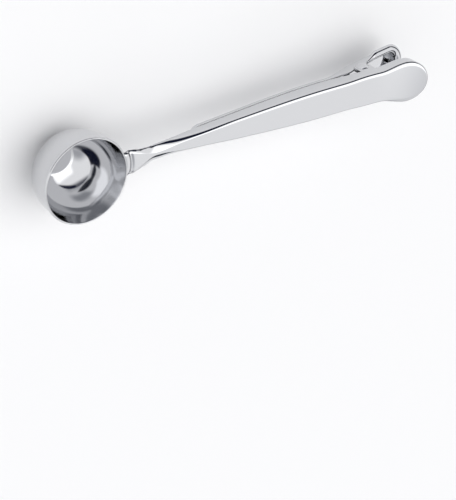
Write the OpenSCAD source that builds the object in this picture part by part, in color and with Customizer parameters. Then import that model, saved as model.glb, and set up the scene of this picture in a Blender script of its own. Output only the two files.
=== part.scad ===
// Coffee scoop with a spring bag clip on the back of its handle.
// Millimetres. +Z is the way the bowl opens, +X runs along the handle.
// The origin is the middle of the flat under the bowl.

/* [Bowl] */
// Outer radius of the round wall
bowl_r = 18.7; // [15:0.1:22]
// Height of the straight wall above the round part
bowl_straight = 6.2; // [4:0.1:8]
// Radius of the flat that the bowl stands on
base_r = 7.5; // [5:0.5:10]
// Thickness of the bowl's sheet
bowl_wall = 0.6; // [0.5:0.1:1.2]
// How far the lip stands out from the wall
lip_out = 0.3; // [0.2:0.1:1]
// Height of the lip
lip_h = 1.6; // [1:0.1:2.4]

/* [Handle] */
// From the bowl's axis to the tip of the handle
handle_reach = 168.7; // [160:0.5:180]
// Angle that the handle rises at
handle_pitch = 4.7; // [2:0.1:8]
// Height of the handle's face below the rim, carried back to the bowl's axis
face_drop = 5.6; // [4:0.1:7]
// Thickness of the handle's sheet
handle_t = 0.9; // [0.7:0.1:1.2]
// Width of the foot that is welded to the bowl
foot_w = 10.7; // [9:0.1:13]
// Width of the neck
neck_w = 6.7; // [6:0.1:9]
// Width across the grip
grip_w = 13.8; // [12.5:0.1:15]
// Width across the ears at the pivot
ear_w = 14.8; // [13.5:0.1:16]
// Width of the round thumb end
thumb_w = 19.6; // [16:0.1:20]
// Radius that the thumb end curls up with
curl_r = 100; // [80:5:160]
// Depth of the side walls at the jaw's tip
wall_shallow = 4.7; // [4:0.1:6]
// Depth of the side walls where the jaw is widest
wall_deep = 7; // [6:0.1:8]
// Height of the foot on the bowl's wall
foot_h = 7.5; // [5:0.1:9]
// Rounding of the folded edges
edge_r = 0.9; // [0.6:0.1:1.4]

/* [Pivot] */
// From the pivot to the tip of the handle
pivot_inset = 25.6; // [23:0.1:28]
// Depth of the pivot below the handle's face
pivot_drop = 9.2; // [8:0.1:10]
// Diameter of the rivet's shank
rivet_d = 2.6; // [2:0.1:3]
// Diameter of the rivet's domed heads
head_d = 5.8; // [5:0.1:6.4]
// Height of the domed heads
head_h = 1.1; // [0.8:0.1:1.6]
// Radius of the ears round the rivet
ear_r = 3.6; // [3.2:0.1:4]
// Radial gap between the rivet and the clip
running_gap = 0.05; // [0.02:0.01:0.09]
// Gap between the ears of the handle and of the clip
ear_gap = 0.3; // [0.2:0.05:0.5]

/* [Clip] */
// Thickness of the clip's sheet
clip_t = 0.8; // [0.6:0.1:1]
// From the bowl's axis to the tip of the jaw
jaw_tip_x = 54; // [50:0.5:70]
// Depth of the jaw's folded edges
jaw_depth = 2.4; // [2:0.1:3]
// Gap between the closed jaw and the handle
jaw_gap = 0.3; // [0.2:0.05:0.5]
// How far the lever reaches past the tip of the handle
lever_over = 3.9; // [0:0.1:5]
// Depth of the lever with its curled rim
lever_depth = 5.5; // [4.5:0.1:6]
// Width of the lever between its curled rims
lever_w = 12.2; // [11:0.1:14]
// Radius of the rim that is curled out round the lever
rim_curl = 1.55; // [0.8:0.05:2]
// Angle that the lever falls away from the handle
lever_fall = 8; // [5:0.5:10]
// Depth of the clip's web below the rivet
web_drop = 7.8; // [7:0.1:9]

/* [Spring] */
// Diameter of the spring's wire
wire_d = 0.9; // [0.7:0.05:1.1]
// Gap between the coil and the rivet
coil_gap = 0.35; // [0.2:0.05:0.5]
// Number of turns
turns = 4; // [2:1:5]
// Length of the spring's legs
leg_len = 11; // [8:0.5:13]

/* [Hidden] */
$fn = 96;

// Heights in the bowl
ball_z = sqrt(bowl_r * bowl_r - base_r * base_r);
rim_z = ball_z + bowl_straight;

// Places along the handle
pivot_x = handle_reach - pivot_inset;
lever_tip_x = handle_reach + lever_over - 2 * rim_curl;
seat_gap = 0.02;
weld_x = bowl_r + seat_gap;
neck_x = bowl_r + 16.6;
bevel_end_x = neck_x + 38;
thumb_x = handle_reach - thumb_w / 2;
curl_x = handle_reach - 30;
ear_end_x = pivot_x + ear_r;
grip_x = pivot_x - 24;
jaw_wide_x = pivot_x - 18.3;
rise = tan(handle_pitch);

// How the face stands above its straight line beside the bowl, by distance from the bowl's axis
foot_form = [
    [weld_x, 1.2], [weld_x + 0.8, 1.75], [weld_x + 1.6, 1.85], [weld_x + 2.8, 1.6],
    [weld_x + 3.8, 1.05], [weld_x + 5.1, 1.3], [weld_x + 7.6, 1.2], [neck_x, 0]
];
half_widths = [
    [bowl_r - 1, foot_w / 2], [bowl_r + 4, foot_w / 2], [bowl_r + 8.4, foot_w / 2 - 1],
    [neck_x, neck_w / 2], [grip_x, grip_w / 2], [grip_x + 8, grip_w / 2],
    [pivot_x - 3.2, ear_w / 2], [pivot_x + 3.2, ear_w / 2], [thumb_x, thumb_w / 2]
];
wall_depths = [
    [bowl_r, 1.2], [bowl_r + 13, 1.8], [neck_x, 2.4], [jaw_tip_x - 8, wall_shallow - 1],
    [jaw_tip_x, wall_shallow], [jaw_wide_x, wall_deep], [pivot_x - 8, 5.8], [pivot_x, 5.4],
    [ear_end_x + 2, 5.4], [thumb_x, 5.1], [handle_reach, 5.1]
];
// Width and height of the bevel between face and side wall
bevel_widths = [
    [bowl_r, 0.9], [bowl_r + 6, 1.2], [neck_x, 2.9], [neck_x + 11, 1.7], [neck_x + 20, 1.25],
    [bevel_end_x, edge_r], [handle_reach, edge_r]
];
bevel_heights = [
    [bowl_r, 0.9], [bowl_r + 6, 1], [neck_x, 1.5], [neck_x + 11, 2.1], [neck_x + 20, 2],
    [bevel_end_x, edge_r], [handle_reach, edge_r]
];
bevel_rounds = [[neck_x + 10, 0.45], [bevel_end_x, 1]];

// A smooth curve without overshoot through [x, value] keys
function key_before(keys, x, i = 0) =
    (i > len(keys) - 3 || x < keys[i + 1][0]) ? i : key_before(keys, x, i + 1);
function chord(keys, i) = (keys[i + 1][1] - keys[i][1]) / (keys[i + 1][0] - keys[i][0]);
function slope_at(keys, i) =
    i == 0 || i == len(keys) - 1 ? 0
    : let (before = chord(keys, i - 1), after = chord(keys, i))
        before * after <= 0 ? 0 : 2 * before * after / (before + after);
function hermite(z0, z1, s0, s1, span, u) =
    z0 * (2 * u ^ 3 - 3 * u ^ 2 + 1) + s0 * span * (u ^ 3 - 2 * u ^ 2 + u)
    + z1 * (3 * u ^ 2 - 2 * u ^ 3) + s1 * span * (u ^ 3 - u ^ 2);
function smooth(keys, x) =
    let (
        i = key_before(keys, x),
        span = keys[i + 1][0] - keys[i][0],
        u = min(max((x - keys[i][0]) / span, 0), 1)
    )
    hermite(keys[i][1], keys[i + 1][1], slope_at(keys, i), slope_at(keys, i + 1), span, u);

// The handle's face, walls and ears
function face_line(x) = rim_z - face_drop + x * rise;
function curl(x) = x > curl_x ? (x - curl_x) ^ 2 / (2 * curl_r) : 0;
function face_z(x, y) =
    face_line(x) + curl(x)
    + (x < neck_x + 1 ? smooth(foot_form, min(sqrt(x * x + y * y), neck_x)) : 0);
function handle_half(x) = smooth(half_widths, x);
function ear_depth(x, centre, r) =
    abs(x - pivot_x) < r + 0.001 ? centre + sqrt(max(r * r - (x - pivot_x) ^ 2, 0)) : 0;
function wall_depth(x) =
    max(smooth(wall_depths, x), ear_depth(x, face_z(x, 0) - pivot_z, ear_r));
pivot_z = face_line(pivot_x) + curl(pivot_x) - pivot_drop;

// The clip's web and walls
clip_half = handle_half(pivot_x) - handle_t - ear_gap;
clip_ear_r = ear_r - 0.4;
bend_x = jaw_wide_x - 2;
lever_start_x = pivot_x + 5;
lever_round_x = lever_tip_x - lever_w / 2;
jaw_end_r = handle_half(jaw_tip_x);
jaw_round_x = jaw_tip_x + jaw_end_r;
web_at_pivot = pivot_z - web_drop;
curl_radii = [[pivot_x + 6, clip_t / 2 + 0.05], [pivot_x + 12, rim_curl], [lever_tip_x, rim_curl]];
clip_depths = [
    [bend_x, jaw_depth], [pivot_x - 4, lever_depth], [pivot_x + 5.5, lever_depth],
    [pivot_x + 6.5, lever_depth - 0.75], [pivot_x + 12, lever_depth - clip_t / 2 - rim_curl + 0.15],
    [lever_tip_x, lever_depth - clip_t / 2 - rim_curl + 0.15]
];
clip_narrowing = [[bend_x + 6, 0], [pivot_x - 5, 1], [lever_tip_x, 1]];
lever_widening = [[lever_start_x, clip_half], [lever_round_x, lever_w / 2]];

function wall_edge_z(x) = face_z(x, 0) - smooth(wall_depths, x);
function jaw_web_z(x) = wall_edge_z(x) - jaw_gap - jaw_depth;
function web_z(x) =
    x < bend_x ? jaw_web_z(x)
    : x > pivot_x ? web_at_pivot - (x - pivot_x) * tan(lever_fall)
    : hermite(jaw_web_z(bend_x), web_at_pivot, jaw_web_z(bend_x) - jaw_web_z(bend_x - 1),
        -tan(lever_fall), pivot_x - bend_x, (x - bend_x) / (pivot_x - bend_x));
function clip_half_at(x) =
    x > pivot_x ? smooth(lever_widening, x)
    : let (k = smooth(clip_narrowing, x)) handle_half(x) * (1 - k) + clip_half * k;
function clip_depth(x) =
    max(smooth(clip_depths, x), ear_depth(x, pivot_z - web_z(x), clip_ear_r));

// Stations along one side of an outline: [x, half width, outward normal]
function side_station(half, x) =
    let (tilt = (half(x + 0.05) - half(x - 0.05)) / 0.1, n = sqrt(1 + tilt * tilt))
    [x, half(x), -tilt / n, 1 / n];
function tip_station(centre, r, angle) =
    [centre + r * sin(angle), r * cos(angle), sin(angle), cos(angle)];
function spread(from, to, step) =
    let (n = ceil((to - from) / step)) [for (i = [0 : n - 1]) from + (to - from) * i / n];
function ear_xs(r) = concat(
    [pivot_x - r - 0.05], [for (a = [0 : 15 : 180]) pivot_x - r * cos(a)], [pivot_x + r + 0.05]);

// A pressed tray: a face, rounded edges and side walls that turn with the outline.
// dir is 1 where the walls hang down from the face and -1 where they stand up.
arc_steps = 5;
across = 7;
function skin_row(s, t, depth, bevel, face, dir, inner) =
    let (
        a0 = inner ? t : 0,
        ra = inner ? max(bevel[0] - t, 0.15) : bevel[0],
        rb = inner ? max(bevel[1] - t, 0.15) : bevel[1],
        edge = [for (k = [0 : arc_steps])
            let (u = k / arc_steps, a = 90 * u, q = bevel[2])
            [a0 + ra * ((1 - q) * u + q * (1 - cos(a))), a0 + rb * ((1 - q) * (1 - u) + q * (1 - sin(a)))]],
        rings = concat([[a0, depth]], edge),
        left = [for (g = rings)
            let (x = s[0] - s[2] * g[0], y = s[1] - s[3] * g[0]) [x, y, face(x, y) - dir * g[1]]],
        right = [for (k = [len(left) - 1 : -1 : 0]) [left[k][0], -left[k][1], left[k][2]]],
        top = left[len(left) - 1],
        middle = [for (k = [1 : across])
            let (y = top[1] * (1 - 2 * k / (across + 1))) [top[0], y, face(top[0], y) - dir * a0]]
    )
    concat(left, middle, right);

module tray(stations, t, depth, bevel, face, dir, closed_start) {
    rows = len(stations);
    outer = [for (s = stations) each skin_row(s, t, depth(s[0]), bevel(s[0]), face, dir, false)];
    inner = [for (s = stations) each skin_row(s, t, depth(s[0]), bevel(s[0]), face, dir, true)];
    row = len(outer) / rows;
    last = (rows - 1) * row;
    o = len(outer);
    walls = arc_steps + 1;
    skin = [for (i = [0 : rows - 2], j = [0 : row - 2])
        let (a = i * row + j) each [[a, a + row, a + row + 1], [a, a + row + 1, a + 1]]];
    edges = [for (i = [0 : rows - 2])
        let (a = i * row, b = a + row - 1)
        each [
            [a, o + a, o + a + row], [a, o + a + row, a + row],
            [o + b, b, b + row], [o + b, b + row, o + b + row]
        ]];
    tip = concat(
        [for (k = [0 : walls - 2]) let (l = last + k, r = last + row - 1 - k) [r, r - 1, l + 1, l]],
        [[for (j = [row - walls : -1 : walls - 1]) last + j]]
    );
    tip_edge = [[o + last, o + last + row - 1, last + row - 1, last]];
    start = closed_start
        ? concat(
            [for (k = [0 : walls - 2]) let (l = k, r = row - 1 - k) [l, l + 1, r - 1, r]],
            [[for (j = [walls - 1 : row - walls]) j]]
        )
        : [];
    start_edge = closed_start
        ? [[0, row - 1, o + row - 1, o]]
        : [for (j = [0 : row - 2]) [j, j + 1, o + j + 1, o + j]];
    shell = concat(skin, tip, start);
    faces = concat(shell, [for (f = shell) [for (k = [len(f) - 1 : -1 : 0]) o + f[k]]],
        edges, tip_edge, start_edge);
    polyhedron(
        concat(outer, inner),
        dir > 0 ? faces : [for (f = faces) [for (k = [len(f) - 1 : -1 : 0]) f[k]]]
    );
}

// The bowl's round body, grown by a gap
module bowl_form(gap) {
    translate([0, 0, ball_z]) sphere(bowl_r + gap);
    translate([0, 0, ball_z]) cylinder(r = bowl_r + gap, h = bowl_straight + 2);
}

module bowl() color("silver") difference() {
    union() {
        intersection() {
            bowl_form(0);
            cylinder(r = bowl_r + lip_out, h = rim_z);
        }
        translate([0, 0, rim_z - lip_h]) rotate_extrude()
            polygon([[bowl_r - 0.3, 0], [bowl_r, 0], [bowl_r + lip_out, lip_h * 0.2],
                [bowl_r + lip_out, lip_h * 0.55], [bowl_r - 0.1, lip_h], [bowl_r - 0.3, lip_h]]);
    }
    intersection() {
        bowl_form(-bowl_wall);
        translate([0, 0, bowl_wall]) cylinder(r = bowl_r, h = rim_z);
    }
}

module foot() intersection() {
    difference() {
        bowl_form(seat_gap + handle_t);
        bowl_form(seat_gap);
    }
    translate([0, 0, rim_z - lip_h - 0.8 - foot_h]) rotate([90, 0, 90])
        linear_extrude(bowl_r + 3) union() {
            translate([-foot_w / 2, 2]) square([foot_w, foot_h - 2]);
            translate([-foot_w / 2 + 2, 0]) square([foot_w - 4, foot_h]);
            for (side = [-1, 1]) translate([side * (foot_w / 2 - 2), 2]) circle(2);
        }
}

module across_pivot(r, half) translate([pivot_x, half, pivot_z]) rotate([90, 0, 0])
    cylinder(r = r, h = 2 * half);

module handle() color("silver") {
    stations = concat(
        [for (x = concat(
            spread(bowl_r - 0.6, bowl_r + 6, 0.7), spread(bowl_r + 6, neck_x + 20, 2),
            spread(neck_x + 20, pivot_x - ear_r - 0.05, 4), ear_xs(ear_r),
            spread(ear_end_x + 1, thumb_x, 1.5))) side_station(function(x) handle_half(x), x)],
        [for (a = [0 : 6 : 84]) tip_station(thumb_x, thumb_w / 2, a)]
    );
    difference() {
        union() {
            tray(stations, handle_t, function(x) wall_depth(x),
                function(x) [smooth(bevel_widths, x), smooth(bevel_heights, x), smooth(bevel_rounds, x)],
                function(x, y) face_z(x, y), 1, false);
            foot();
        }
        bowl_form(seat_gap);
        across_pivot(rivet_d / 2, grip_w);
    }
}

// One ring of the sheet that is curled out from the top of the lever's wall
curl_steps = 7;
function curl_ring(s, side) =
    let (
        r = smooth(curl_radii, s[0]),
        centre = web_z(s[0]) + lever_depth - clip_t / 2 - r,
        skin = function(big, a)
            let (out = r - clip_t / 2 - big * cos(a))
            [s[0] + s[2] * out, side * (s[1] + s[3] * out), centre + big * sin(a)],
        leg = function(out) [s[0] + s[2] * out, side * (s[1] + s[3] * out), centre - 0.5]
    )
    concat(
        [leg(-clip_t + 0.1)],
        [for (k = [0 : curl_steps]) skin(r + clip_t / 2, 180 * k / curl_steps)],
        [for (k = [curl_steps : -1 : 0]) skin(r - clip_t / 2, 180 * k / curl_steps)],
        [leg(-0.1)]
    );
module curled_rim() {
    half_way = concat(
        [for (x = concat(spread(pivot_x + 6, pivot_x + 12, 1), spread(pivot_x + 12, lever_round_x, 3)))
            side_station(function(x) clip_half_at(x), x)],
        [for (a = [0 : 7.5 : 82.5]) tip_station(lever_round_x, lever_w / 2, a)]
    );
    last = len(half_way) - 1;
    rings = concat(
        [for (s = half_way) curl_ring(s, 1)],
        [curl_ring(tip_station(lever_round_x, lever_w / 2, 90), 1)],
        [for (i = [last : -1 : 0]) curl_ring(half_way[i], -1)]
    );
    n = len(rings[0]);
    count = len(rings);
    polyhedron(
        [for (g = rings) each g],
        concat(
            [for (i = [0 : count - 2], k = [0 : n - 1])
                let (a = i * n + k, b = i * n + (k + 1) % n)
                each [[a, b + n, a + n], [a, b, b + n]]],
            [[for (k = [n - 1 : -1 : 0]) k], [for (k = [0 : n - 1]) (count - 1) * n + k]]
        )
    );
}

module clip_arm() color("silver") {
    stations = concat(
        [for (a = [-84 : 7 : -7]) tip_station(jaw_round_x, jaw_end_r, a)],
        [for (x = concat(
            spread(jaw_round_x, bend_x, 5), spread(bend_x, pivot_x - clip_ear_r - 0.05, 1.5),
            ear_xs(clip_ear_r), spread(pivot_x + clip_ear_r + 0.5, lever_round_x, 1.5)
            )) side_station(function(x) clip_half_at(x), x)],
        [for (a = [0 : 6 : 84]) tip_station(lever_round_x, lever_w / 2, a)]
    );
    difference() {
        resize([0, 0, 0]) union() {
            tray(stations, clip_t, function(x) clip_depth(x), function(x) [edge_r, edge_r, 1],
                function(x, y) web_z(x), -1, true);
            curled_rim();
        }
        across_pivot(rivet_d / 2 + running_gap, grip_w);
    }
}

module rivet_head(side) {
    dome_r = (head_d * head_d / 4 + head_h * head_h) / (2 * head_h);
    translate([pivot_x, side * ear_w / 2, pivot_z]) rotate([-90 * side, 0, 0]) intersection() {
        translate([0, 0, head_h - dome_r]) sphere(dome_r);
        cylinder(r = head_d, h = head_h);
    }
}

module pivot_rivet() color("silver") {
    across_pivot(rivet_d / 2, ear_w / 2);
    for (side = [-1, 1]) rivet_head(side);
}

// A round wire swept along a path
wire_sides = 8;
function unit(v) = v / norm(v);
function path_ring(path, i, r) =
    let (
        t = unit(path[min(i + 1, len(path) - 1)] - path[max(i - 1, 0)]),
        u = unit(cross(t, [0, 1, 0])),
        v = cross(t, u)
    )
    [for (k = [0 : wire_sides - 1])
        path[i] + r * (cos(360 * k / wire_sides) * u + sin(360 * k / wire_sides) * v)];
module wire(path, r) {
    n = len(path);
    points = [for (i = [0 : n - 1]) each path_ring(path, i, r)];
    sides = [for (i = [0 : n - 2], k = [0 : wire_sides - 1])
        let (a = i * wire_sides + k, b = i * wire_sides + (k + 1) % wire_sides)
        each [[a, a + wire_sides, b + wire_sides], [a, b + wire_sides, b]]];
    ends = [[for (k = [0 : wire_sides - 1]) k],
        [for (k = [wire_sides - 1 : -1 : 0]) (n - 1) * wire_sides + k]];
    polyhedron(points, concat(sides, ends));
}

// The angle at which a leg leaves the coil to end at a height above or below the rivet
coil_r = rivet_d / 2 + coil_gap + wire_d / 2;
coil_pitch = wire_d + 0.08;
function leg_angle(height) =
    atan2(leg_len, coil_r) - acos(height / sqrt(leg_len * leg_len + coil_r * coil_r));
function leg_end(angle) = leg_len * cos(angle) - coil_r * sin(angle);
function settled(height, tries = 6, reach = leg_len) =
    let (angle = leg_angle(height(pivot_x + reach)))
    tries == 0 ? angle : settled(height, tries - 1, leg_end(angle));
function up_height(x) = face_z(x, 0) - handle_t - wire_d / 2 - seat_gap - pivot_z;
function down_height(x) = pivot_z - web_z(x) - clip_t - wire_d / 2 - seat_gap;

module torsion_spring() color("dimgray") {
    up = settled(function(x) up_height(x));
    down = settled(function(x) down_height(x));
    first = 90 + up;
    total = 360 * turns + 180 - down - up;
    steps = 18 * turns;
    coil = [for (i = [0 : steps])
        let (a = first + total * i / steps, y = coil_pitch * turns * (i / steps - 0.5))
        [pivot_x + coil_r * cos(a), y, pivot_z + coil_r * sin(a)]];
    legs = [
        coil[0] + leg_len * [cos(up), 0, sin(up)],
        coil[steps] + leg_len * [cos(down), 0, -sin(down)]
    ];
    wire(concat([legs[0]], coil, [legs[1]]), wire_d / 2);
}

bowl();
handle();
clip_arm();
pivot_rivet();
torsion_spring();
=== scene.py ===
import bmesh
import bpy
import math
from mathutils import Matrix, Vector


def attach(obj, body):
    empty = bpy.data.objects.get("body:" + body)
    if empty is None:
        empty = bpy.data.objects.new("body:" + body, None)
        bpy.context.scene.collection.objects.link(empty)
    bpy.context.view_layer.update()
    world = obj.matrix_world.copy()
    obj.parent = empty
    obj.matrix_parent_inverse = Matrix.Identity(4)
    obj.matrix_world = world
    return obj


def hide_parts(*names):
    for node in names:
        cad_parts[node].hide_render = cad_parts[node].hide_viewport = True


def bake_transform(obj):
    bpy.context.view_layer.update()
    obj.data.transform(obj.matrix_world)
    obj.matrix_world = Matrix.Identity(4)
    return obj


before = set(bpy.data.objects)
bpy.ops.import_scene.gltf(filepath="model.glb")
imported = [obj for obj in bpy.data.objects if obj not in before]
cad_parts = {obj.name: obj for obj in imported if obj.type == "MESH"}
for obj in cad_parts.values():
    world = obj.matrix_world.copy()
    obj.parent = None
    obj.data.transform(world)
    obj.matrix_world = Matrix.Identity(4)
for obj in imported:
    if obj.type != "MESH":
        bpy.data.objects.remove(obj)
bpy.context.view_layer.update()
print("frame loaded with", len(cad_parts), "solids")

mm = 0.001
samePoint = 0.000002


# curves through keys, the same as the solids are made with
def easeKeys(keys, x):
    last = len(keys) - 1
    i = 0
    while i < last - 1 and x >= keys[i + 1][0]:
        i += 1

    def chord(k):
        return (keys[k + 1][1] - keys[k][1]) / (keys[k + 1][0] - keys[k][0])

    def slope(k):
        if k in (0, last):
            return 0
        before, after = chord(k - 1), chord(k)
        return 0 if before * after <= 0 else 2 * before * after / (before + after)

    span = keys[i + 1][0] - keys[i][0]
    return hermite(keys[i][1], keys[i + 1][1], slope(i), slope(i + 1), span,
                   min(max((x - keys[i][0]) / span, 0), 1))


def hermite(z0, z1, s0, s1, span, u):
    return (z0 * (2 * u ** 3 - 3 * u ** 2 + 1) + s0 * span * (u ** 3 - 2 * u ** 2 + u)
            + z1 * (3 * u ** 2 - 2 * u ** 3) + s1 * span * (u ** 3 - u ** 2))


def spread(start, end, step):
    n = math.ceil((end - start) / step)
    return [start + (end - start) * i / n for i in range(n)]


# a piece from points in millimetres
def makePiece(name, points, faces, body, node, material, turned=False):
    mesh = bpy.data.meshes.new(name)
    mesh.from_pydata([Vector(p) * mm for p in points], [], faces)
    if turned:  # the points on the axis become one
        whole = bmesh.new()
        whole.from_mesh(mesh)
        bmesh.ops.remove_doubles(whole, verts=whole.verts, dist=samePoint)
        whole.to_mesh(mesh)
        whole.free()
    mesh.validate()
    mesh.polygons.foreach_set("use_smooth", [True] * len(mesh.polygons))
    mesh.update()
    piece = bpy.data.objects.new(name, mesh)
    bpy.context.scene.collection.objects.link(piece)
    mesh.materials.append(material)
    if body:
        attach(piece, body)
    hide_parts(node)
    return piece


# joins rows of points into a skin; closed joins the last point of each row to the first
def skinFaces(rows, row, start=0, closed=False):
    faces = []
    for i in range(rows - 1):
        for j in range(row if closed else row - 1):
            a, b = start + i * row + j, start + i * row + (j + 1) % row
            faces.append((a, a + row, b + row, b))
    return faces


# finishes: the same wiping marks and haze on every piece of steel, each with its own values
wiping = {
    "markStretch": (90, 900, 900), "markScale": 3, "markDetail": 4,
    "cloudScale": 120, "cloudDetail": 2, "bumpDepth": 0.00002,
}
finishes = {
    "polishedSteel": {"colour": (0.62, 0.625, 0.64), "roughness": 0.05, "haze": 0.03, "marks": 0.02,
                      "bump": 0.05, "markSize": 1.0},
    "rivetSteel": {"colour": (0.62, 0.625, 0.64), "roughness": 0.07, "haze": 0.03, "marks": 0.02,
                   "bump": 0.05, "markSize": 2.0},
    "springSteel": {"colour": (0.5, 0.5, 0.52), "roughness": 0.22, "haze": 0.06, "marks": 0.1,
                    "bump": 0.2, "markSize": 3.0},
}


def nodeGroup(name, inputs, outputs):
    group = bpy.data.node_groups.new(name, "ShaderNodeTree")
    for way, sockets in (("INPUT", inputs), ("OUTPUT", outputs)):
        for label, kind in sockets:
            group.interface.new_socket(label, in_out=way, socket_type="NodeSocket" + kind)
    return group, group.nodes.new("NodeGroupInput"), group.nodes.new("NodeGroupOutput")


# hair-fine wiping marks and a faint breath of haze on polished metal
def makePolishGroup():
    group, inside, out = nodeGroup("polishMarks", [
        ("Mark Size", "Float"), ("Haze", "Float"), ("Marks", "Float"), ("Base Roughness", "Float"),
    ], [("Roughness", "Float"), ("Height", "Float")])
    nodes, links = group.nodes, group.links
    place = nodes.new("ShaderNodeTexCoord")
    stretch = nodes.new("ShaderNodeMapping")
    stretch.inputs["Scale"].default_value = wiping["markStretch"]
    links.new(place.outputs["Object"], stretch.inputs["Vector"])
    scaled = nodes.new("ShaderNodeVectorMath")
    scaled.operation = "SCALE"
    links.new(stretch.outputs["Vector"], scaled.inputs[0])
    links.new(inside.outputs["Mark Size"], scaled.inputs["Scale"])
    marks = nodes.new("ShaderNodeTexNoise")
    marks.inputs["Scale"].default_value = wiping["markScale"]
    marks.inputs["Detail"].default_value = wiping["markDetail"]
    links.new(scaled.outputs["Vector"], marks.inputs["Vector"])
    cloud = nodes.new("ShaderNodeTexNoise")
    cloud.inputs["Scale"].default_value = wiping["cloudScale"]
    cloud.inputs["Detail"].default_value = wiping["cloudDetail"]
    links.new(place.outputs["Object"], cloud.inputs["Vector"])
    hazeAmount = nodes.new("ShaderNodeMath")
    hazeAmount.operation = "MULTIPLY_ADD"
    links.new(cloud.outputs["Fac"], hazeAmount.inputs[0])
    links.new(inside.outputs["Haze"], hazeAmount.inputs[1])
    links.new(inside.outputs["Base Roughness"], hazeAmount.inputs[2])
    markAmount = nodes.new("ShaderNodeMath")
    markAmount.operation = "MULTIPLY_ADD"
    links.new(marks.outputs["Fac"], markAmount.inputs[0])
    links.new(inside.outputs["Marks"], markAmount.inputs[1])
    links.new(hazeAmount.outputs[0], markAmount.inputs[2])
    links.new(markAmount.outputs[0], out.inputs["Roughness"])
    links.new(marks.outputs["Fac"], out.inputs["Height"])
    return group


polishGroup = makePolishGroup()


def steelMaterial(name, colour, roughness, haze, marks, bump, markSize):
    material = bpy.data.materials.new(name)
    material.use_nodes = True
    nodes, links = material.node_tree.nodes, material.node_tree.links
    shader = nodes["Principled BSDF"]
    shader.inputs["Metallic"].default_value = 1
    shader.inputs["Base Color"].default_value = (*colour, 1)
    polish = nodes.new("ShaderNodeGroup")
    polish.node_tree = polishGroup
    polish.inputs["Base Roughness"].default_value = roughness
    polish.inputs["Haze"].default_value = haze
    polish.inputs["Marks"].default_value = marks
    polish.inputs["Mark Size"].default_value = markSize
    links.new(polish.outputs["Roughness"], shader.inputs["Roughness"])
    lift = nodes.new("ShaderNodeBump")
    lift.inputs["Strength"].default_value = bump
    lift.inputs["Distance"].default_value = wiping["bumpDepth"]
    links.new(polish.outputs["Height"], lift.inputs["Height"])
    links.new(lift.outputs["Normal"], shader.inputs["Normal"])
    return material


polishedSteel = steelMaterial("polishedSteel", **finishes["polishedSteel"])
rivetSteel = steelMaterial("rivetSteel", **finishes["rivetSteel"])
springSteel = steelMaterial("springSteel", **finishes["springSteel"])
print("finishes made")

# the deep-drawn bowl
bowl = {
    "radius": 18.7, "straight": 6.2, "flatRadius": 7.5, "wall": 0.6,
    "lipOut": 0.3, "lipHeight": 1.6, "seatGap": 0.02, "turns": 256, "ballSteps": 60,
}
bowl["ballZ"] = math.sqrt(bowl["radius"] ** 2 - bowl["flatRadius"] ** 2)
bowl["rimZ"] = bowl["ballZ"] + bowl["straight"]


def bowlProfile():
    r, t, ballZ, rimZ = bowl["radius"], bowl["wall"], bowl["ballZ"], bowl["rimZ"]
    low, steps = math.asin(bowl["flatRadius"] / r), bowl["ballSteps"]
    profile = [(0, 0), (3, 0), (6, 0), (bowl["flatRadius"] - 0.5, 0)]
    for i in range(steps):
        a = low + 0.02 + (math.pi / 2 - low - 0.02) * i / (steps - 1)
        profile.append((r * math.sin(a), ballZ - r * math.cos(a)))
    lip, out = bowl["lipHeight"], r + bowl["lipOut"]
    profile += [(r, ballZ + 1.5), (r, ballZ + 3), (r, rimZ - lip - 0.1)]
    # the rolled lip, from below and over to the inside
    profile += [(r + 0.03, rimZ - lip + 0.05)]
    profile += [(out - 0.06, rimZ - lip * 0.82), (out - 0.01, rimZ - lip * 0.7)]
    profile += [(out, rimZ - lip * 0.58)]
    profile += [(out - 0.05, rimZ - lip * 0.42), (out - 0.2, rimZ - lip * 0.2)]
    profile += [(out - 0.38, rimZ - 0.06)]
    profile += [(out - 0.48, rimZ), (out - 0.6, rimZ)]
    profile += [(r - t + 0.16, rimZ - 0.02), (r - t + 0.06, rimZ - 0.08)]
    profile += [(r - t, rimZ - 0.2), (r - t, rimZ - 0.5), (r - t, rimZ - 1.5)]
    profile += [(r - t, ballZ + 3), (r - t, ballZ + 1.5)]
    floorAngle = math.acos((ballZ - t) / (r - t))
    for i in range(steps):
        a = math.pi / 2 - (math.pi / 2 - floorAngle) * i / (steps - 1)
        profile.append(((r - t) * math.sin(a), ballZ - (r - t) * math.cos(a)))
    inner = (r - t) * math.sin(floorAngle)
    return profile + [(inner * 0.7, t), (inner * 0.35, t), (0, t)]


def buildBowl():
    profile = bowlProfile()
    n, turns = len(profile), bowl["turns"]
    points = []
    for k in range(turns):
        a = 2 * math.pi * k / turns
        points += [(r * math.cos(a), r * math.sin(a), z) for r, z in profile]
    faces = []
    for k in range(turns):
        a, b = k * n, (k + 1) % turns * n
        faces += [(a + i, b + i, b + i + 1, a + i + 1) for i in range(n - 1)]
    return makePiece("scoop_bowl", points, faces, "scoop", "bowl", polishedSteel,
                     True)


buildBowl()
print("bowl turned")

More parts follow.
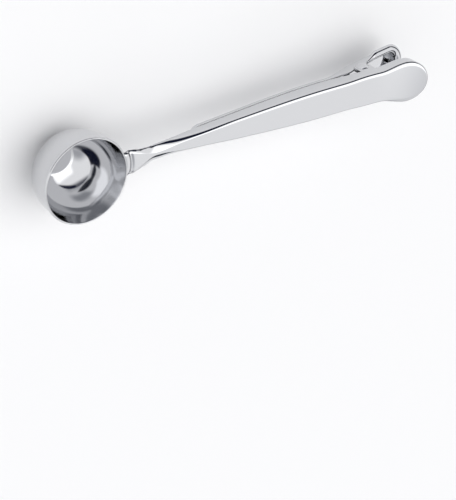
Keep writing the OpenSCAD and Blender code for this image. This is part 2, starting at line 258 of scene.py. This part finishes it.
# the pressed handle with its bellied foot
handle = {
    "reach": 168.7, "pitch": 4.7, "faceDrop": 5.6, "sheet": 0.9,
    "footWidth": 10.7, "neckWidth": 6.7, "gripWidth": 13.8, "earWidth": 14.8, "thumbWidth": 19.6,
    "curlRadius": 100, "shallow": 4.7, "deep": 7, "footHeight": 7.5, "edge": 0.9,
    "pivotInset": 25.6, "pivotDrop": 9.2, "earRadius": 3.6, "jawTip": 54,
    "neckOut": 16.6, "bevelRun": 38, "jawWideInset": 18.3, "gripInset": 24, "curlRun": 30,
    "footCorner": 2, "footBelowLip": 0.8, "footColumns": 24, "footRows": 28,
    "seatHalf": 12, "seatRun": 6,
}
neckX = bowl["radius"] + handle["neckOut"]
bevelEndX = neckX + handle["bevelRun"]
thumbX = handle["reach"] - handle["thumbWidth"] / 2
curlX = handle["reach"] - handle["curlRun"]
pivotX = handle["reach"] - handle["pivotInset"]
jawWideX = pivotX - handle["jawWideInset"]
gripX = pivotX - handle["gripInset"]
earEndX = pivotX + handle["earRadius"]
weldX = bowl["radius"] + bowl["seatGap"]
rise = math.tan(math.radians(handle["pitch"]))

footForm = [
    (weldX, 1.2), (weldX + 0.8, 1.75), (weldX + 1.6, 1.85), (weldX + 2.8, 1.6),
    (weldX + 3.8, 1.05), (weldX + 5.1, 1.3), (weldX + 7.6, 1.2), (neckX, 0),
]
halfWidths = [
    (bowl["radius"] - 1, handle["footWidth"] / 2), (bowl["radius"] + 4, handle["footWidth"] / 2),
    (bowl["radius"] + 8.4, handle["footWidth"] / 2 - 1), (neckX, handle["neckWidth"] / 2),
    (gripX, handle["gripWidth"] / 2), (gripX + 8, handle["gripWidth"] / 2),
    (pivotX - 3.2, handle["earWidth"] / 2), (pivotX + 3.2, handle["earWidth"] / 2),
    (thumbX, handle["thumbWidth"] / 2),
]
wallDepths = [
    (bowl["radius"], 1.2), (bowl["radius"] + 13, 1.8), (neckX, 2.4),
    (handle["jawTip"] - 8, handle["shallow"] - 1), (handle["jawTip"], handle["shallow"]),
    (jawWideX, handle["deep"]), (pivotX - 8, 5.8), (pivotX, 5.4), (earEndX + 2, 5.4),
    (thumbX, 5.1), (handle["reach"], 5.1),
]
bevelWidths = [
    (bowl["radius"], 0.9), (bowl["radius"] + 6, 1.2), (neckX, 2.9), (neckX + 11, 1.7),
    (neckX + 20, 1.25), (bevelEndX, handle["edge"]), (handle["reach"], handle["edge"]),
]
bevelHeights = [
    (bowl["radius"], 0.9), (bowl["radius"] + 6, 1), (neckX, 1.5), (neckX + 11, 2.1),
    (neckX + 20, 2), (bevelEndX, handle["edge"]), (handle["reach"], handle["edge"]),
]
bevelRounds = [(neckX + 10, 0.45), (bevelEndX, 0.5)]


def faceLine(x):
    curl = (x - curlX) ** 2 / (2 * handle["curlRadius"]) if x > curlX else 0
    return bowl["rimZ"] - handle["faceDrop"] + x * rise + curl


def faceZ(x, y):
    foot = easeKeys(footForm, min(math.hypot(x, y), neckX)) if x < neckX + 1 else 0
    return faceLine(x) + foot


pivotZ = faceLine(pivotX) - handle["pivotDrop"]


def handleHalf(x):
    return easeKeys(halfWidths, x)


def earDepth(x, centre, radius):
    if abs(x - pivotX) >= radius + 0.001:
        return 0
    return centre + math.sqrt(max(radius ** 2 - (x - pivotX) ** 2, 0))


def wallDepth(x):
    return max(easeKeys(wallDepths, x), earDepth(x, handle["pivotDrop"], handle["earRadius"]))


def earStations(radius):
    arc = [pivotX - radius * math.cos(math.radians(a)) for a in range(0, 181, 5)]
    return [pivotX - radius - 0.05] + arc + [pivotX + radius + 0.05]


# a station is [x, half width, outward normal along x, outward normal across]
def sideStation(half, x):
    tilt = (half(x + 0.05) - half(x - 0.05)) / 0.1
    n = math.hypot(1, tilt)
    return (x, half(x), -tilt / n, 1 / n)


tipAngles = list(range(0, 88, 3)) + [88.5]


def tipStation(centre, radius, angle):
    s, c = math.sin(math.radians(angle)), math.cos(math.radians(angle))
    return (centre + radius * s, radius * c, s, c)


# one row across the pressed sheet: wall, rounded edge, face, rounded edge, wall
def sheetRow(s, sheet, depth, bevel, face, way, inner, edgeSteps=12, across=14):
    inset = sheet if inner else 0
    wide, high = (max(bevel[0] - sheet, 0.15), max(bevel[1] - sheet, 0.15)) if inner else bevel[:2]
    flat = bevel[2]
    hem = sheet * 0.3
    lean = -hem if inner else hem
    rings = [(inset + lean, depth), (inset + lean * 0.3, depth - hem * 0.3),
             (inset, depth - hem), (inset, depth - hem * 2)]
    top = inset + high
    rings += [(inset, depth - hem * 2 + (top - depth + hem * 2) * k / 4) for k in (1, 2, 3)]
    for k in range(edgeSteps + 1):
        u = k / edgeSteps
        a = math.pi / 2 * u
        rings.append((inset + wide * ((1 - flat) * u + flat * (1 - math.cos(a))),
                      inset + high * ((1 - flat) * (1 - u) + flat * (1 - math.sin(a)))))
    left = []
    for inward, drop in rings:
        x, y = s[0] - s[2] * inward, s[1] - s[3] * inward
        left.append((x, y, face(x, y) - way * drop))
    topX, topY = left[-1][0], left[-1][1]
    middle = []
    for k in range(1, across + 1):
        y = topY * (1 - 2 * k / (across + 1))
        middle.append((topX, y, face(topX, y) - way * inset))
    right = [(x, -y, z) for x, y, z in reversed(left)]
    return left + middle + right


def pressTray(stations, sheet, depth, bevel, face, way):
    points = []
    for s in stations:
        outer = sheetRow(s, sheet, depth(s[0]), bevel(s[0]), face, way, False)
        inner = sheetRow(s, sheet, depth(s[0]), bevel(s[0]), face, way, True)
        points += outer + inner[::-1]
    row = len(points) // len(stations)
    faces = skinFaces(len(stations), row, 0, True)
    if way > 0:
        faces = [f[::-1] for f in faces]
    return points, faces, row


# closes a round end: joins the left half of a row to its right half
def closeEnd(start, row, flip):
    faces = []
    half = row // 2
    for base in (start, start + half):
        for k in range(half // 2 - 1):
            f = (base + k, base + k + 1, base + half - 2 - k, base + half - 1 - k)
            faces.append(f if flip else f[::-1])
    hems = (start, start + half - 1, start + half, start + row - 1)
    faces.append(hems if flip else hems[::-1])
    return faces


# the handle's first millimetres bend round to lie on the bowl
def seatOnBowl(point, weldRadius):
    x, y, z = point
    blend = max(0, 1 - (x - weldRadius) / handle["seatRun"]) if x > weldRadius else 1
    seat = math.sqrt(weldRadius ** 2 - min(abs(y), handle["seatHalf"]) ** 2) - weldRadius
    return (x + seat * blend, y, z)


def buildHandle():
    xs = (spread(weldX, bowl["radius"] + 9, 0.25) + spread(bowl["radius"] + 9, neckX + 20, 0.8)
          + spread(neckX + 20, pivotX - handle["earRadius"] - 0.05, 1.5)
          + earStations(handle["earRadius"]) + spread(earEndX + 0.5, thumbX, 0.8))
    stations = [sideStation(handleHalf, x) for x in xs]
    stations += [tipStation(thumbX, handle["thumbWidth"] / 2, a) for a in tipAngles]

    def bevel(x):
        return easeKeys(bevelWidths, x), easeKeys(bevelHeights, x), easeKeys(bevelRounds, x)

    points, faces, row = pressTray(stations, handle["sheet"], wallDepth, bevel, faceZ, 1)
    faces += closeEnd((len(stations) - 1) * row, row, True)
    points = [seatOnBowl(p, weldX) for p in points]
    # the foot lies on the bowl's wall below the handle
    top = bowl["rimZ"] - bowl["lipHeight"] - handle["footBelowLip"]
    base = len(points)
    half, corner = handle["footWidth"] / 2, handle["footCorner"]
    columns, rowsDown = handle["footColumns"], handle["footRows"]
    for layer in (weldX + handle["sheet"], weldX):
        for i in range(rowsDown + 1):
            z = top - handle["footHeight"] * i / rowsDown
            fall = max(0, corner - (z - (top - handle["footHeight"])))
            width = half - corner + math.sqrt(max(corner ** 2 - fall ** 2, 0)) if fall > 0 else half
            below = max(0, bowl["ballZ"] - z)
            around = math.sqrt(layer ** 2 - below ** 2)
            for j in range(columns + 1):
                y = width * (2 * j / columns - 1)
                points.append((math.sqrt(around ** 2 - y ** 2), y, z))
    footRow, layerSize = columns + 1, (columns + 1) * (rowsDown + 1)
    outer = [f[::-1] for f in skinFaces(rowsDown + 1, footRow, base)]
    faces += outer + [tuple(i + layerSize for i in f[::-1]) for f in outer]
    for i in range(rowsDown):
        for j, flip in ((0, False), (columns, True)):
            a = base + i * footRow + j
            f = (a, a + footRow, a + footRow + layerSize, a + layerSize)
            faces.append(f[::-1] if flip else f)
    for j in range(columns):
        a = base + rowsDown * footRow + j
        faces.append((a, a + 1, a + 1 + layerSize, a + layerSize))
    return makePiece("scoop_handle", points, faces, "scoop", "handle",
                     polishedSteel)


buildHandle()
print("handle pressed")

# the clip arm: jaw in front of the rivet, lever behind it
clip = {
    "sheet": 0.8, "jawDepth": 2.4, "jawGap": 0.3, "leverOver": 3.9, "leverDepth": 5.5,
    "leverWidth": 12.2, "rimCurl": 1.55, "leverFall": 8, "webDrop": 7.8, "earGap": 0.3, "edge": 0.9,
    "earLess": 0.4, "bendBefore": 2, "edgeRound": 0.5, "curlSteps": 22,
}
clipHalf = handle["earWidth"] / 2 - handle["sheet"] - clip["earGap"]
clipEar = handle["earRadius"] - clip["earLess"]
bendX = jawWideX - clip["bendBefore"]
leverTipX = handle["reach"] + clip["leverOver"] - 2 * clip["rimCurl"]
leverRoundX = leverTipX - clip["leverWidth"] / 2
jawEndRadius = handleHalf(handle["jawTip"])
jawRoundX = handle["jawTip"] + jawEndRadius
webAtPivot = pivotZ - clip["webDrop"]
underCurl = clip["leverDepth"] - clip["sheet"] / 2 - clip["rimCurl"] + 0.15
curlRadii = [
    (pivotX + 6, clip["sheet"] / 2 + 0.05), (pivotX + 12, clip["rimCurl"]),
    (leverTipX, clip["rimCurl"]),
]
clipDepths = [
    (bendX, clip["jawDepth"]), (pivotX - 4, clip["leverDepth"]), (pivotX + 5.5, clip["leverDepth"]),
    (pivotX + 6.5, clip["leverDepth"] - 0.75), (pivotX + 12, underCurl), (leverTipX, underCurl),
]
clipNarrowing = [(bendX + 6, 0), (pivotX - 5, 1), (leverTipX, 1)]
leverWidening = [(pivotX + 5, clipHalf), (leverRoundX, clip["leverWidth"] / 2)]


def jawWebZ(x):
    return faceZ(x, 0) - easeKeys(wallDepths, x) - clip["jawGap"] - clip["jawDepth"]


def webZ(x, y=0):
    fall = math.tan(math.radians(clip["leverFall"]))
    if x < bendX:
        return jawWebZ(x)
    if x > pivotX:
        return webAtPivot - (x - pivotX) * fall
    return hermite(jawWebZ(bendX), webAtPivot, jawWebZ(bendX) - jawWebZ(bendX - 1), -fall,
                   pivotX - bendX, (x - bendX) / (pivotX - bendX))


def clipHalfAt(x):
    if x > pivotX:
        return easeKeys(leverWidening, x)
    k = easeKeys(clipNarrowing, x)
    return handleHalf(x) * (1 - k) + clipHalf * k


def clipDepth(x):
    return max(easeKeys(clipDepths, x), earDepth(x, pivotZ - webZ(x), clipEar))


# the sheet at the top of the lever's wall, curled outwards into a rounded rim
def curlRing(s, side):
    t, steps = clip["sheet"], clip["curlSteps"]
    radius = easeKeys(curlRadii, s[0])
    centre = webZ(s[0]) + clip["leverDepth"] - t / 2 - radius

    def place(out, z):
        return (s[0] + s[2] * out, side * (s[1] + s[3] * out), z)

    def skin(big, a):
        return place(radius - t / 2 - big * math.cos(a), centre + big * math.sin(a))

    big, small = radius + t / 2, radius - t / 2
    over = [skin(big, math.pi * k / steps) for k in range(steps + 1)]
    under = [skin(small, math.pi * k / steps) for k in range(steps, -1, -1)]
    edge = [place(radius - t / 2 + (big + small) / 2 + t / 2 * math.cos(a),
                  centre - t / 2 * 0.6 * math.sin(a)) for a in (0.6, 1.1, 1.57, 2.04, 2.54)]
    return [place(-t + 0.1, centre - 0.5)] + over + edge + under + [place(-0.1, centre - 0.5)]


def curledRim(start):
    xs = spread(pivotX + 6, pivotX + 12, 0.5) + spread(pivotX + 12, leverRoundX, 0.8)
    half = [sideStation(clipHalfAt, x) for x in xs]
    half += [tipStation(leverRoundX, clip["leverWidth"] / 2, a) for a in range(0, 90, 3)]
    rings = [curlRing(s, 1) for s in half]
    rings.append(curlRing(tipStation(leverRoundX, clip["leverWidth"] / 2, 90), 1))
    rings += [curlRing(s, -1) for s in reversed(half)]
    size = len(rings[0])
    faces = skinFaces(len(rings), size, start, True)
    end = start + (len(rings) - 1) * size
    faces += [tuple(range(start, start + size)), tuple(range(end + size - 1, end - 1, -1))]
    return [p for ring in rings for p in ring], faces


def buildClip():
    stations = [tipStation(jawRoundX, jawEndRadius, -a) for a in reversed(tipAngles) if a]
    xs = (spread(jawRoundX, bendX, 1.5) + spread(bendX, pivotX - clipEar - 0.05, 0.8)
          + earStations(clipEar) + spread(pivotX + clipEar + 0.5, leverRoundX, 0.8))
    stations += [sideStation(clipHalfAt, x) for x in xs]
    stations += [tipStation(leverRoundX, clip["leverWidth"] / 2, a) for a in tipAngles]

    def bevel(x):
        return clip["edge"], clip["edge"], clip["edgeRound"]

    points, faces, row = pressTray(stations, clip["sheet"], clipDepth, bevel, webZ, -1)
    faces += closeEnd(0, row, True)
    faces += closeEnd((len(stations) - 1) * row, row, False)
    rimPoints, rimFaces = curledRim(len(points))
    points, faces = points + rimPoints, faces + rimFaces
    return makePiece("spring_clip_arm", points, faces, "clip", "clip_arm",
                     polishedSteel)


buildClip()
print("clip arm pressed")

# the rivet that the arm turns on
rivet = {"shank": 2.6, "headWidth": 5.8, "headHeight": 1.1, "rimRound": 0.12, "turns": 96,
         "domeSteps": 24}


# a domed head at each ear and the shank between them, turned about the rivet's own line
def buildRivet():
    earY = handle["earWidth"] / 2
    half, high, soft = rivet["headWidth"] / 2, rivet["headHeight"], rivet["rimRound"]
    dome = (half ** 2 + high ** 2) / (2 * high)
    shank = rivet["shank"] / 2
    side = [(shank, 0), (shank, earY * 0.5), (shank, earY - 0.02)]
    side += [(half - soft, earY), (half - soft * 0.4, earY + soft * 0.05)]
    side += [(half - soft * 0.2, earY + soft * 0.4)]
    rimAngle, steps = math.asin((half - soft) / dome), rivet["domeSteps"]
    for i in range(steps + 1):
        a = rimAngle * (1 - i / steps)
        side.append((dome * math.sin(a), earY + high - dome + dome * math.cos(a)))
    profile = [(r, -y) for r, y in reversed(side[1:])] + side
    n, turns = len(profile), rivet["turns"]
    points = []
    for k in range(turns):
        a = 2 * math.pi * k / turns
        points += [(pivotX + r * math.cos(a), y, pivotZ + r * math.sin(a)) for r, y in profile]
    faces = []
    for k in range(turns):
        a, b = k * n, (k + 1) % turns * n
        faces += [(a + i, a + i + 1, b + i + 1, b + i) for i in range(n - 1)]
    return makePiece("pivot_rivet_domed", points, faces, "scoop", "pivot_rivet",
                     rivetSteel, True)


buildRivet()
print("rivet headed")

# the coil round the rivet that keeps the jaw shut
spring = {
    "wire": 0.9, "coilGap": 0.35, "coilPlay": 0.08, "turns": 4, "leg": 11, "seatGap": 0.02,
    "perTurn": 64, "around": 20, "legSteps": 12, "tries": 7,
}
coilRadius = rivet["shank"] / 2 + spring["coilGap"] + spring["wire"] / 2


# the angle at which a leg leaves the coil and comes to rest on its sheet, found by a few tries
def legAngle(height):
    leg, reach = spring["leg"], spring["leg"]
    for _ in range(spring["tries"]):
        gap = height(pivotX + reach)
        angle = math.atan2(leg, coilRadius) - math.acos(gap / math.hypot(leg, coilRadius))
        reach = leg * math.cos(angle) - coilRadius * math.sin(angle)
    return angle


def buildSpring():
    wire, turns = spring["wire"], spring["turns"]
    up = legAngle(lambda x: faceZ(x, 0) - handle["sheet"] - wire / 2 - spring["seatGap"] - pivotZ)
    down = legAngle(lambda x: pivotZ - webZ(x) - clip["sheet"] - wire / 2 - spring["seatGap"])
    first, total = math.pi / 2 + up, 2 * math.pi * turns + math.pi - down - up
    steps = spring["perTurn"] * turns
    pitch = wire + spring["coilPlay"]
    coil = []
    for i in range(steps + 1):
        a = first + total * i / steps
        coil.append(Vector((pivotX + coilRadius * math.cos(a), pitch * turns * (i / steps - 0.5),
                            pivotZ + coilRadius * math.sin(a))))
    upWay = Vector((math.cos(up), 0, math.sin(up)))
    downWay = Vector((math.cos(down), 0, -math.sin(down)))
    n = spring["legSteps"]
    path = [coil[0] + upWay * spring["leg"] * k / n for k in range(n, 0, -1)] + coil
    path += [coil[-1] + downWay * spring["leg"] * k / n for k in range(1, n + 1)]
    points, around = [], spring["around"]
    for i, centre in enumerate(path):
        way = (path[min(i + 1, len(path) - 1)] - path[max(i - 1, 0)]).normalized()
        u = way.cross(Vector((0, 1, 0))).normalized()
        v = way.cross(u)
        for k in range(around):
            a = 2 * math.pi * k / around
            points.append(centre + (u * math.cos(a) + v * math.sin(a)) * wire / 2)
    faces = [f[::-1] for f in skinFaces(len(path), around, 0, True)]
    last = (len(path) - 1) * around
    faces += [tuple(range(around - 1, -1, -1)), tuple(range(last, last + around))]
    piece = makePiece("coiled_spring", points, faces, None, "torsion_spring",
                      springSteel)
    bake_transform(piece)
    return piece


buildSpring()
print("spring wound")

# floor, light and camera
floorLook = {"half": 3, "colour": (0.97, 0.97, 0.97), "roughness": 0.8}


def buildFloor():
    mesh = bpy.data.meshes.new("floor")
    w = floorLook["half"]
    mesh.from_pydata([(-w, -w, 0), (w, -w, 0), (w, w, 0), (-w, w, 0)], [], [(0, 1, 2, 3)])
    floor = bpy.data.objects.new("floor", mesh)
    bpy.context.scene.collection.objects.link(floor)
    material = bpy.data.materials.new("paleFloor")
    material.use_nodes = True
    shader = material.node_tree.nodes["Principled BSDF"]
    shader.inputs["Base Color"].default_value = (*floorLook["colour"], 1)
    shader.inputs["Roughness"].default_value = floorLook["roughness"]
    shader.inputs["Specular IOR Level"].default_value = 0
    mesh.materials.append(material)
    return floor


buildFloor()


# cards of tone all round the object: name, where it stands, half width and height, soft edge, tone
studio = {
    "level": (1.12, 1.12, 1.13),
    "cards": [
        ("overheadBox", (0.28, 0.05, 0.96), (0.48, 0.48), 0.14, (1.85, 1.85, 1.86)),
        ("frontWall", (-0.3, -0.6, 0.74), (0.5, 0.34), 0.25, (0.5, 0.51, 0.54)),
        ("backWall", (-0.15, 0.9, 0.42), (1.7, 0.27), 0.12, (0.13, 0.135, 0.16)),
        ("darkFlag", (0.39, 0.79, 0.47), (0.55, 0.25), 0.05, (0.01, 0.013, 0.035)),
        ("endFlag", (0.97, 0.1, 0.28), (0.75, 0.14), 0.05, (0.03, 0.033, 0.05)),
        ("frontFlag", (0.45, -0.84, 0.3), (1.2, 0.15), 0.05, (0.04, 0.045, 0.06)),
    ],
}


# a mask that is 1 on the card and falls to 0 over its soft edge
def makeCardGroup():
    group, inside, out = nodeGroup("studioCard", [
        ("Direction", "Vector"), ("Centre", "Vector"), ("Across", "Vector"), ("Up", "Vector"),
        ("Half Width", "Float"), ("Half Height", "Float"), ("Soft Edge", "Float"),
    ], [("Mask", "Float")])
    nodes, links = group.nodes, group.links

    def along(axis):
        dot = nodes.new("ShaderNodeVectorMath")
        dot.operation = "DOT_PRODUCT"
        links.new(inside.outputs["Direction"], dot.inputs[0])
        links.new(inside.outputs[axis], dot.inputs[1])
        return dot.outputs["Value"]

    def sums(operation, one, two=None):
        node = nodes.new("ShaderNodeMath")
        node.operation = operation
        for i, value in enumerate((one, two)):
            if hasattr(value, "links"):
                links.new(value, node.inputs[i])
            elif value is not None:
                node.inputs[i].default_value = value
        return node.outputs[0]

    ahead = sums("MAXIMUM", along("Centre"), 0.001)
    mask = None
    for axis, size in (("Across", "Half Width"), ("Up", "Half Height")):
        offset = sums("ABSOLUTE", sums("DIVIDE", along(axis), ahead))
        edge = nodes.new("ShaderNodeMapRange")
        edge.interpolation_type = "SMOOTHSTEP"
        links.new(offset, edge.inputs["Value"])
        soft = inside.outputs["Soft Edge"]
        links.new(sums("SUBTRACT", inside.outputs[size], soft), edge.inputs["From Min"])
        links.new(sums("ADD", inside.outputs[size], soft), edge.inputs["From Max"])
        edge.inputs["To Min"].default_value = 1
        edge.inputs["To Max"].default_value = 0
        inSize = edge.outputs["Result"]
        mask = inSize if mask is None else sums("MULTIPLY", mask, inSize)
    links.new(mask, out.inputs["Mask"])
    return group


def buildWorld():
    world = bpy.data.worlds.new("studio")
    bpy.context.scene.world = world
    world.use_nodes = True
    nodes, links = world.node_tree.nodes, world.node_tree.links
    place = nodes.new("ShaderNodeTexCoord")
    cardGroup = makeCardGroup()
    tone = nodes.new("ShaderNodeRGB")
    tone.outputs[0].default_value = (*studio["level"], 1)
    colour = tone.outputs[0]
    for name, centre, (wide, high), soft, level in studio["cards"]:
        middle = Vector(centre).normalized()
        across = middle.cross(Vector((0, 0, 1))).normalized()
        card = nodes.new("ShaderNodeGroup")
        card.node_tree = cardGroup
        card.name = name
        card.inputs["Centre"].default_value = middle
        card.inputs["Across"].default_value = across
        card.inputs["Up"].default_value = across.cross(middle)
        card.inputs["Half Width"].default_value = wide
        card.inputs["Half Height"].default_value = high
        card.inputs["Soft Edge"].default_value = soft
        links.new(place.outputs["Generated"], card.inputs["Direction"])
        # a colour mix takes its two colours at sockets 6 and 7 and gives the result at 2
        mix = nodes.new("ShaderNodeMix")
        mix.data_type = "RGBA"
        links.new(card.outputs["Mask"], mix.inputs[0])
        links.new(colour, mix.inputs[6])
        mix.inputs[7].default_value = (*level, 1)
        colour = mix.outputs[2]
    links.new(colour, nodes["Background"].inputs["Color"])
    nodes["Background"].inputs["Strength"].default_value = 1
    return world


buildWorld()

view = {"lens": 108, "sensor": 36, "nearest": 0.01, "belowRim": 0.9,
        "from": (-0.2537, 0.2998, 0.4424), "right": (0.808, 0, 0.5891),
        "up": (0.3229, 0.8365, -0.4428), "back": (-0.4928, 0.548, 0.6759)}


def placeCamera():
    data = bpy.data.cameras.new("camera")
    data.lens = view["lens"]
    data.sensor_width = view["sensor"]
    data.clip_start = view["nearest"]
    camera = bpy.data.objects.new("camera", data)
    bpy.context.scene.collection.objects.link(camera)
    turn = Matrix((view["right"], view["up"], view["back"])).transposed().to_4x4()
    height = Vector((0, 0, (bowl["rimZ"] - view["belowRim"]) * mm))
    camera.matrix_world = Matrix.Translation(Vector(view["from"]) + height) @ turn
    bpy.context.scene.camera = camera


placeCamera()
bpy.context.scene.view_settings.view_transform = "Standard"
print("studio set")
